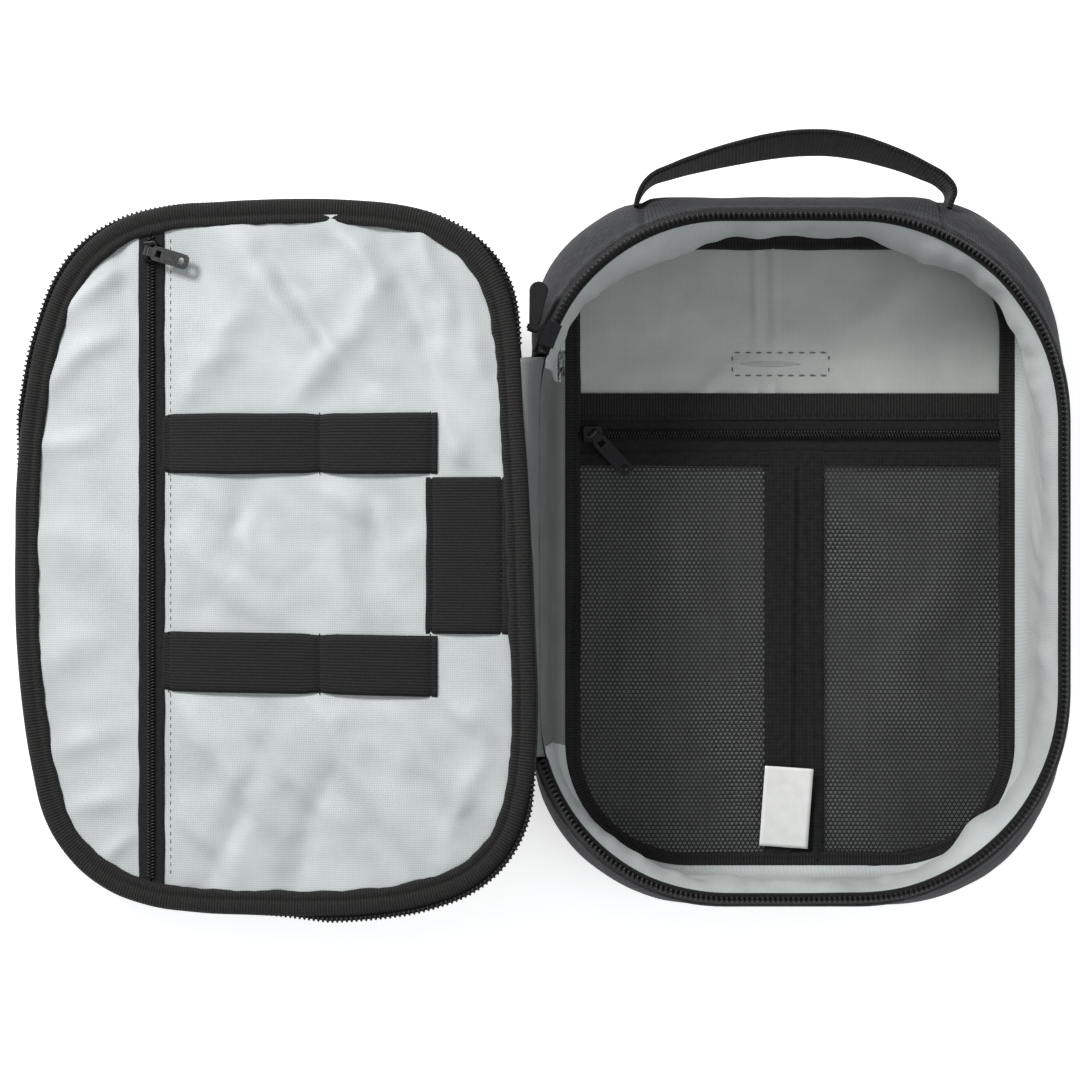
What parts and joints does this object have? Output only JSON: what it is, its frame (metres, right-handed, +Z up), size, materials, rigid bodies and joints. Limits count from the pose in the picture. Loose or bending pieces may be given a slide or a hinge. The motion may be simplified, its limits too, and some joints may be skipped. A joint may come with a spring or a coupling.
{
  "type": "cable organizer pouch",
  "caption": "Padded clamshell pouch with a zipped rim, lined tray with mesh pocket, hinged lid with elastic loops and zipped pocket, and a webbing handle.",
  "frame": {"origin": "centre of the tray's back face, on the ground the pouch lies on", "axes": "+X from the hinge wall to the free wall, +Y to the carrying handle, +Z up out of the open tray; the open lid lies towards -X"},
  "size_m": [0.3679, 0.2702, 0.0598],
  "materials": {
    "outer_cloth": "charcoal heather polyester cloth",
    "foam": "closed-cell foam sheet",
    "lining": "light grey nylon taffeta",
    "binding": "black ribbed grosgrain",
    "zip_tape": "black woven zip tape",
    "zip_coil": "black nylon coil",
    "mesh": "black hexagonal mesh",
    "webbing": "black ribbed webbing",
    "elastic": "black ribbed elastic",
    "slider_metal": "black enamelled die-cast metal",
    "pull_metal": "gunmetal plated",
    "puller_plastic": "black moulded, satin",
    "label": "white satin ribbon"
  },
  "bodies": {
    "tray": {"back_panel": "outer_cloth", "back_foam": "foam", "back_lining": "lining", "gusset_top_panel": "outer_cloth", "gusset_left_strip": "outer_cloth", "gusset_long_strip": "outer_cloth", "spine_panel": "outer_cloth", "gusset_foam": "foam", "spine_foam": "foam", "gusset_lining": "lining", "spine_lining": "lining", "hinge_cloth": "lining", "body_zip_tape": "zip_tape", "body_zip_teeth": "zip_coil", "floor_binding": "binding", "pocket_header_band": "binding", "pocket_zip_tape_upper": "zip_tape", "pocket_zip_tape_lower": "zip_tape", "pocket_zip_coil": "zip_coil", "pocket_mesh_left": "mesh", "pocket_mesh_right": "mesh", "pocket_divider": "mesh", "stitched_patch": "lining", "handle_end_left": "webbing", "handle_end_right": "webbing"},
    "lid": {"lid_panel": "outer_cloth", "lid_foam": "foam", "lid_lining": "lining", "lid_pocket_lining": "lining", "lid_binding": "binding", "lid_zip_tape": "zip_tape", "lid_zip_teeth": "zip_coil", "lid_pocket_tape_outer": "zip_tape", "lid_pocket_tape_inner": "zip_tape", "lid_pocket_coil": "zip_coil", "elastic_upper": "elastic", "elastic_lower": "elastic", "elastic_side": "elastic"},
    "lid_slider": {"lid_pocket_slider": "slider_metal"},
    "lid_pull": {"lid_pocket_pull_tab": "pull_metal"},
    "floor_slider": {"pocket_zip_slider": "slider_metal"},
    "floor_pull": {"pocket_pull_tab": "pull_metal"},
    "main_slider": {"main_zip_slider": "slider_metal"},
    "main_puller": {"main_zip_puller": "puller_plastic"},
    "handle": {"handle_webbing": "webbing"},
    "label": {"care_label": "label"}
  },
  "joints": [
    {"name": "lid_hinge", "type": "hinge", "parent": "tray", "child": "lid", "pos_m": [-0.093, 0, 0.057], "axis": [0, 1, 0], "range_deg": [0, 195.19]},
    {"name": "lid_zip_slide", "type": "slide", "parent": "lid", "child": "lid_slider", "axis": [0, -1, 0], "range_m": [0, 0.213]},
    {"name": "lid_pull_lift", "type": "hinge", "parent": "lid_slider", "child": "lid_pull", "pos_m": [-0.22598, 0.107, 0.02394], "axis": [-0.2822, -0.9563, -0.0766], "range_deg": [0, 90]},
    {"name": "floor_zip_slide", "type": "slide", "parent": "tray", "child": "floor_slider", "axis": [1, 0, 0], "range_m": [0, 0.136]},
    {"name": "floor_pull_lift", "type": "hinge", "parent": "floor_slider", "child": "floor_pull", "pos_m": [-0.06975, 0.0434, 0.01025], "axis": [-0.7314, -0.682, 0], "range_deg": [0, 100]},
    {"name": "main_zip_run", "type": "hinge", "parent": "tray", "child": "main_slider", "pos_m": [-0.025, 0.0514, 0.052], "axis": [0, 0, -1], "range_deg": [0, 66]},
    {"name": "main_pull_swing", "type": "hinge", "parent": "main_slider", "child": "main_puller", "pos_m": [-0.09074, 0.07796, 0.05155], "axis": [-0.9272, 0.3746, 0], "range_deg": [0, 20]},
    {"name": "handle_tip", "type": "hinge", "parent": "tray", "child": "handle", "pos_m": [0, 0.1226, 0.028], "axis": [1, 0, 0], "range_deg": [-25, 25]},
    {"name": "label_flip", "type": "hinge", "parent": "tray", "child": "label", "pos_m": [-0.002, -0.10335, 0.0068], "axis": [0.9976, -0.0698, 0], "range_deg": [0, 100]}
  ]
}
